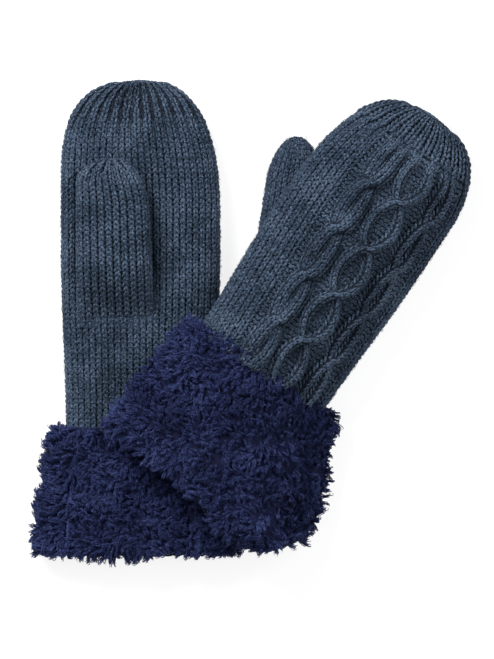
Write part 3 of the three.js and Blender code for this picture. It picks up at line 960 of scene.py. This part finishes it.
def cuff_locks(m, first_angle, last_angle, seed):
    """Matted locks of pile: strands that curl together, leaning the way their neighbours do."""
    draw = np.random.default_rng(seed)
    spot = draw.uniform(first_angle, last_angle, LOCKS)
    angle = even_angle((58.0, 58.0, THICKNESS / 2), spot, 1200)[:, None]
    down = (draw.uniform(0, 1, LOCKS) * 1.13 - 0.015)[:, None]
    here, out = cuff_cloth(m, angle, down)
    here, out = here[:, 0], out[:, 0]
    swirl = 2.2 * wave(here, 34, 11) + 0.9 * wave(here, 14, 12) + draw.normal(0, 0.25, LOCKS)
    flat, other = ways_along(out)
    lean = np.cos(swirl)[:, None] * flat + np.sin(swirl)[:, None] * other
    aside = -np.sin(swirl)[:, None] * flat + np.cos(swirl)[:, None] * other
    forward, rise, sideways = strand_curves(draw)
    path = (
        each_strand(here)[:, None, :]
        + forward[..., None] * each_strand(lean)[:, None, :]
        + rise[..., None] * each_strand(out)[:, None, :]
        + sideways[..., None] * each_strand(aside)[:, None, :]
    )
    path = on_table(path, PILE_ABOVE_TABLE)
    shape = np.sin(math.pi * np.linspace(0.2, 0.97, LOCK_STEPS)) ** 0.5
    thick = STRAND_RADIUS * draw.uniform(0.7, 1.25, len(path))[:, None] * shape[None, :]
    up = np.repeat(each_strand(out)[:, None, :], LOCK_STEPS, axis=1)
    return tube_shapes(path, up, thick, sides=3, flat=1.0)


def dress_cuff(side_name, seed):
    m = MITTENS[side_name]
    body = f"{side_name}_mitten"
    # The cuff's cloth is drawn in painted shade: the pile colour darkened.
    base = make_object(f"{side_name}_cuff_base", *cuff_base(m), PILE_PAINTED_SHADE)
    place(base, body, "sherpa", f"{side_name}_sherpa_cuff")
    # The side that is seen has four parts of pile to the other side's one.
    seen, hidden = (0, math.pi) if m["palm_up"] else (math.pi, 0)
    part = math.pi / 4
    parts = [(seen + part * k, seen + part * (k + 1)) for k in range(4)]
    parts.append((hidden, hidden + math.pi))
    for number, (first, last) in enumerate(parts):
        name = f"{side_name}_cuff_pile_{number + 1}"
        locks = make_object(name, *cuff_locks(m, first, last, seed + number), PILE)
        place(locks, body, "sherpa")


# ---------------------------------------------------------------- linings, seams and gathers
ROOT_RING_RADIUS = 12.0
TIP_GATHER = (11.5, 3.9), 5  # reach across and up, and the turns of the spiral
THUMB_TIP_GATHER = (2.4, 2.2), 3


def lining_section(m, y, inset):
    hand = hand_section(m, np.maximum(y, 0), KNIT + 1.2 + inset)
    cuff = cuff_section(m, np.minimum(y, 0), SHERPA + 2.4 + inset)
    into_cuff = smooth(-y, 3, 16)
    into_wrist = smooth(-y, -16, -2)
    return (lerp(hand[0], cuff[0], into_cuff), lerp(hand[1], cuff[1], into_cuff),
            lerp(hand[2], cuff[2], into_wrist))


def lining_shape(m):
    angle = np.linspace(0, 2 * math.pi, 90, endpoint=False)[None, :]
    straight_to = m["length"] - 34
    rounded = straight_to + 29 * np.sin(np.linspace(0.1, 1, 14) * math.pi / 2)
    y = np.concatenate([np.linspace(-CUFF_LENGTH, straight_to, 70), rounded])[:, None]

    def layer(inset):
        x, f = on_section(lining_section(m, y, inset), angle)
        return lay_down(m, x, y + 0 * x, f)

    outer, inner = layer(0.0), layer(LINING)
    tufted = inner + 0.25 * wave(inner, 3.5, 21)[..., None] * np.array([0, 0, 1.0])
    return shell(outer, tufted, True)


def thumb_lining_shape(m):
    angle = np.linspace(0, 2 * math.pi, 36, endpoint=False)[None, :]
    straight_to = THUMB_TIP - 20
    rounded = straight_to + 15 * np.sin(np.linspace(0.1, 1, 10) * math.pi / 2)
    y = np.concatenate([np.linspace(-4, straight_to, 30), rounded])[:, None]
    return shell(thumb_point(m, angle, y, KNIT + 1.2), thumb_point(m, angle, y, KNIT + 2.6), True)


def yarn(points, radius, twist):
    """Two plies twisted round a path of (k, 3) points: returns points, faces."""
    points = np.asarray(points, dtype=float)
    along = np.gradient(points, axis=0)
    along /= np.maximum(np.linalg.norm(along, axis=-1, keepdims=True), 1e-9)
    run = np.concatenate([[0], np.cumsum(np.linalg.norm(np.diff(points, axis=0), axis=-1))])
    reference = np.array([0.13, 0.27, 1.0])
    wide = np.cross(along, reference)
    wide /= np.linalg.norm(wide, axis=-1, keepdims=True)
    high = np.cross(wide, along)
    plies = []
    for ply in (0, math.pi):
        turn = 2 * math.pi * run / twist + ply
        around = np.cos(turn)[:, None] * wide + np.sin(turn)[:, None] * high
        plies.append(points + radius * 0.55 * around)
    path = np.stack(plies)
    up = np.repeat(high[None], 2, axis=0)
    thick = np.full(path.shape[:2], radius * 0.62)
    return tube_shapes(path, up, thick, sides=6, flat=1.0)


def seam_yarn(m, sign):
    """The side seam: a running zigzag of sewing yarn between the two panels."""
    y = np.linspace(2, m["length"] - 10, 420)
    zigzag = 0.9 * np.sin(y * 2 * math.pi / 5.2)
    west, east, _ = hand_section(m, y, 0.6)
    return yarn(lay_down(m, east if sign > 0 else -west, y, zigzag), 0.55, 3.0)


def ring_yarn(m, section, y, steps=360):
    angle = np.linspace(0, 2 * math.pi, steps)
    x, f = on_section(section, angle)
    return yarn(lay_down(m, x, y + 0.5 * np.sin(angle * 60), f), 0.7, 3.4)


def middle_of(node):
    low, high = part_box(node)
    return [(a + b) / 2 / MM for a, b in zip(low, high)]


def gather_shape(node, reach, turns, degrees):
    """The drawn-up end of the cloth: a flat spiral of yarn round a small knot."""
    at = middle_of(node)
    across, high = reach
    t = np.linspace(0.08, 1, 50 * turns)
    angle = t * turns * 2 * math.pi
    x, y = turned(across * t * np.cos(angle), 1.2 * (1 - t), degrees)
    z = high * t * np.sin(angle)
    return yarn(np.stack([x + at[0], y + at[1], z + at[2]], axis=-1), 0.85, 3.0)


def root_ring_shape(node):
    """The ring of yarn where the thumb is sewn to the palm."""
    circle = np.linspace(0, 2 * math.pi, 160)
    root = middle_of(node)
    x = root[0] + ROOT_RING_RADIUS * np.cos(circle)
    y = root[1] + ROOT_RING_RADIUS * np.sin(circle)
    z = root[2] + 0.15 * np.sin(circle * 14)
    return yarn(np.stack([x, y, z], axis=-1), 0.6, 3.0)


def cuff_seam_shape(m):
    y = np.linspace(-3, -CUFF_LENGTH + 2, 260)
    line = cuff_point(m, np.full_like(y, CUFF_SEAM_ANGLE), y, 2.0)
    return yarn(line, 1.1, 5.0)


def dress_seams(side_name):
    m = MITTENS[side_name]
    hem_section = cuff_section(m, np.array(-CUFF_LENGTH), SHERPA + 0.8)
    wrist = ring_yarn(m, hand_section(m, np.array(0.0), KNIT / 2), -1.0)
    # The wrist, cuff hem and thumb root seams are drawn in painted shade: the knit yarn colour
    # darkened.
    seams = (
        ("wrist_seam", wrist, KNIT_PAINTED_SHADE),
        ("cuff_hem_seam", ring_yarn(m, hem_section, -CUFF_LENGTH - 0.6), KNIT_PAINTED_SHADE),
        ("thumb_side_seam", seam_yarn(m, -1), KNIT_YARN),
        ("outer_side_seam", seam_yarn(m, 1), KNIT_YARN),
        ("cuff_side_seam", cuff_seam_shape(m), PILE),
        ("thumb_root_seam", root_ring_shape(f"{side_name}_thumb_root_seam"), KNIT_PAINTED_SHADE),
    )
    for name, shape, material in seams:
        piece = make_object(f"{side_name}_{name}_yarn", *shape, material)
        place(piece, f"{side_name}_mitten", "thread", f"{side_name}_{name}")


def dress_gathers(side_name):
    m = MITTENS[side_name]
    gathers = (
        ("tip_gather", "mitten", TIP_GATHER, m["turn"]),
        ("thumb_tip_gather", "thumb", THUMB_TIP_GATHER, m["turn"] + m["thumb_turn"]),
    )
    for name, body, (reach, turns), degrees in gathers:
        node = f"{side_name}_{name}"
        shape = gather_shape(node, reach, turns, degrees)
        piece = make_object(f"{node}_yarn", *shape, KNIT_YARN)
        place(piece, f"{side_name}_{body}", "thread", node)


def dress_linings(side_name):
    m = MITTENS[side_name]
    lining = make_object(f"{side_name}_fleece_lining", *lining_shape(m), FLEECE)
    place(lining, f"{side_name}_mitten", "fleece", f"{side_name}_lining")
    thumb_fleece = make_object(f"{side_name}_thumb_fleece", *thumb_lining_shape(m), FLEECE)
    move_with_thumb(thumb_fleece, side_name)
    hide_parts(f"{side_name}_thumb_lining")


# ---------------------------------------------------------------- stage, light and camera
FLOOR_HALF = 3.0 / MM
FLOOR_DEPTH = 0.6  # the floor sheet lies this far below zero


def add_floor():
    plan = ((-1, -1), (1, -1), (1, 1), (-1, 1))
    corners = np.array([[x * FLOOR_HALF, y * FLOOR_HALF, -FLOOR_DEPTH] for x, y in plan])
    material, _, shader = new_material("floor_paper")
    shader.inputs["Base Color"].default_value = (0.3, 0.3, 0.3, 1)
    shader.inputs["Roughness"].default_value = 1.0
    shader.inputs["Specular IOR Level"].default_value = 0.0
    shader.inputs["Emission Color"].default_value = (1, 1, 1, 1)
    shader.inputs["Emission Strength"].default_value = 0.82
    floor = make_object("floor", corners, [np.array([[0, 1, 2, 3]])], material)


def add_light(name, at, size, power):
    """A square lamp aimed at the origin; metres and watts."""
    data = bpy.data.lights.new(name, "AREA")
    data.size = size
    data.energy = power
    lamp = bpy.data.objects.new(name, data)
    lamp.location = at
    aim = -lamp.location.normalized()
    lamp.rotation_euler = aim.to_track_quat("-Z", "Y").to_euler()
    bpy.context.scene.collection.objects.link(lamp)


def add_studio():
    world = bpy.data.worlds.new("studio")
    world.use_nodes = True
    world.node_tree.nodes["Background"].inputs["Color"].default_value = (1, 1, 1, 1)
    world.node_tree.nodes["Background"].inputs["Strength"].default_value = 0.38
    bpy.context.scene.world = world
    add_light("key", (-0.5, 0.6, 0.75), 0.45, 12.5)
    add_light("fill", (0.9, 0.3, 1.5), 1.2, 10)
    bpy.context.scene.view_settings.view_transform = "Standard"


CAMERA_HEIGHT = 2.4
VIEW_HEIGHT = 0.3987  # how much of the surface the picture covers, top to bottom
SENSOR = 24.0
VIEW_MIDDLE = (-0.0032, -0.0068)


def add_camera():
    data = bpy.data.cameras.new("camera")
    data.sensor_fit = "VERTICAL"
    data.sensor_height = SENSOR
    data.lens = SENSOR * CAMERA_HEIGHT / VIEW_HEIGHT
    camera = bpy.data.objects.new("camera", data)
    camera.location = (*VIEW_MIDDLE, CAMERA_HEIGHT)
    bpy.context.scene.collection.objects.link(camera)
    bpy.context.scene.camera = camera


# ---------------------------------------------------------------- the whole object
for number, side in enumerate(MITTENS):
    dress_hand(side)
    dress_thumb(side)
    dress_cuff(side, 40 + 10 * number)
    dress_seams(side)
    dress_gathers(side)
    dress_linings(side)
add_floor()
add_studio()
add_camera()
